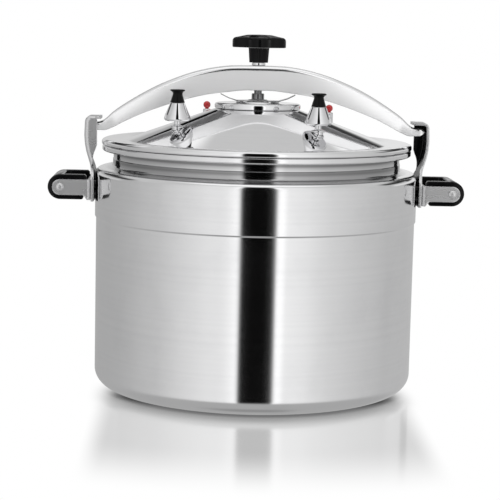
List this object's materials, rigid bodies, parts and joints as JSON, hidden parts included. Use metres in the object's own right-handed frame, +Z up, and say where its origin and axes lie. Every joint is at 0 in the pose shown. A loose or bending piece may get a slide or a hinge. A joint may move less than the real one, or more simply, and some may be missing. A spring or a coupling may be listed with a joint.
{
  "type": "pressure canner",
  "caption": "Large aluminium pressure canner: domed lid held down by a bridge and screw knob under side hooks, weighted vents, pressure indicators and loop grips.",
  "frame": {"origin": "centre of the pot's base, on the surface it stands on", "axes": "+Z up; +X along the bridge and the grips, towards the right-hand grip; -Y the front, where the weighted vents are"},
  "size_m": [0.452, 0.3526, 0.3857],
  "materials": {
    "pot_aluminium": "turned and polished",
    "lid_aluminium": "mirror polished",
    "chrome_fittings": "mirror",
    "bridge_metal": "satin",
    "pressed_steel": "satin",
    "screw_steel": "machined",
    "bakelite": "gloss black",
    "cap_plastic": "matte black",
    "red_plastic": "gloss red",
    "seal_rubber": "matte"
  },
  "bodies": {
    "pot": {"pot_body": "pot_aluminium", "hook_left": "pressed_steel", "hook_right": "pressed_steel", "handle_bracket_left": "pressed_steel", "handle_bracket_right": "pressed_steel", "grip_left": "bakelite", "grip_right": "bakelite", "grip_bolt_left": "chrome_fittings", "grip_bolt_right": "chrome_fittings", "grip_nut_left": "chrome_fittings", "grip_nut_right": "chrome_fittings", "rivet_left_1": "screw_steel", "rivet_left_2": "screw_steel", "rivet_left_3": "screw_steel", "rivet_left_4": "screw_steel", "rivet_right_1": "screw_steel", "rivet_right_2": "screw_steel", "rivet_right_3": "screw_steel", "rivet_right_4": "screw_steel"},
    "lid": {"lid_shell": "lid_aluminium", "lid_gasket": "seal_rubber", "lid_disc": "lid_aluminium", "leaf_spring": "screw_steel", "vent_post_left": "chrome_fittings", "vent_post_right": "chrome_fittings", "vent_seal_left": "seal_rubber", "vent_seal_right": "seal_rubber", "vent_nut_left": "screw_steel", "vent_nut_right": "screw_steel", "indicator_housing_left": "chrome_fittings", "indicator_housing_right": "chrome_fittings", "indicator_seal_left": "seal_rubber", "indicator_seal_right": "seal_rubber", "indicator_nut_left": "screw_steel", "indicator_nut_right": "screw_steel"},
    "clamp_bridge": {"bridge": "bridge_metal", "bridge_bush": "screw_steel"},
    "foot": {"pressure_foot": "screw_steel"},
    "screw": {"clamp_screw": "screw_steel", "screw_collar": "chrome_fittings", "knob": "bakelite"},
    "needle_left": {"weight_needle_left": "screw_steel"},
    "weight_left": {"weight_bell_left": "chrome_fittings", "weight_cap_left": "cap_plastic"},
    "indicator_left": {"indicator_pin_left": "red_plastic"},
    "needle_right": {"weight_needle_right": "screw_steel"},
    "weight_right": {"weight_bell_right": "chrome_fittings", "weight_cap_right": "cap_plastic"},
    "indicator_right": {"indicator_pin_right": "red_plastic"}
  },
  "joints": [
    {"name": "lid_lift", "type": "slide", "parent": "pot", "child": "lid", "axis": [0, 0, 1], "range_m": [0, 0.00611]},
    {"name": "bridge_turn", "type": "hinge", "parent": "lid", "child": "clamp_bridge", "pos_m": [0, 0, 0.335], "axis": [0, 0, -1], "range_deg": [0, 25]},
    {"name": "foot_travel", "type": "slide", "parent": "clamp_bridge", "child": "foot", "axis": [0, 0, 1], "range_m": [0, 0.00301]},
    {"name": "knob_turn", "type": "hinge", "parent": "foot", "child": "screw", "pos_m": [0, 0, 0.35], "axis": [0, 0, 1], "range_deg": [0, 540]},
    {"name": "weight_lift_left", "type": "slide", "parent": "lid", "child": "needle_left", "axis": [0, 0, 1], "range_m": [0, 0.004]},
    {"name": "weight_spin_left", "type": "hinge", "parent": "needle_left", "child": "weight_left", "pos_m": [-0.08702, -0.05126, 0.31], "axis": [0, 0, 1], "continuous": true},
    {"name": "indicator_rise_left", "type": "slide", "parent": "lid", "child": "indicator_left", "axis": [0, 0, 1], "range_m": [0, 0.003]},
    {"name": "weight_lift_right", "type": "slide", "parent": "lid", "child": "needle_right", "axis": [0, 0, 1], "range_m": [0, 0.004]},
    {"name": "weight_spin_right", "type": "hinge", "parent": "needle_right", "child": "weight_right", "pos_m": [0.0612, -0.08034, 0.31], "axis": [0, 0, 1], "continuous": true},
    {"name": "indicator_rise_right", "type": "slide", "parent": "lid", "child": "indicator_right", "axis": [0, 0, 1], "range_m": [0, 0.003]}
  ],
  "couplings": [
    {"joint": "lid_lift", "follows": "bridge_turn", "m_per_rad": 0.014},
    {"joint": "foot_travel", "follows": "knob_turn", "m_per_rad": 0.000318}
  ]
}
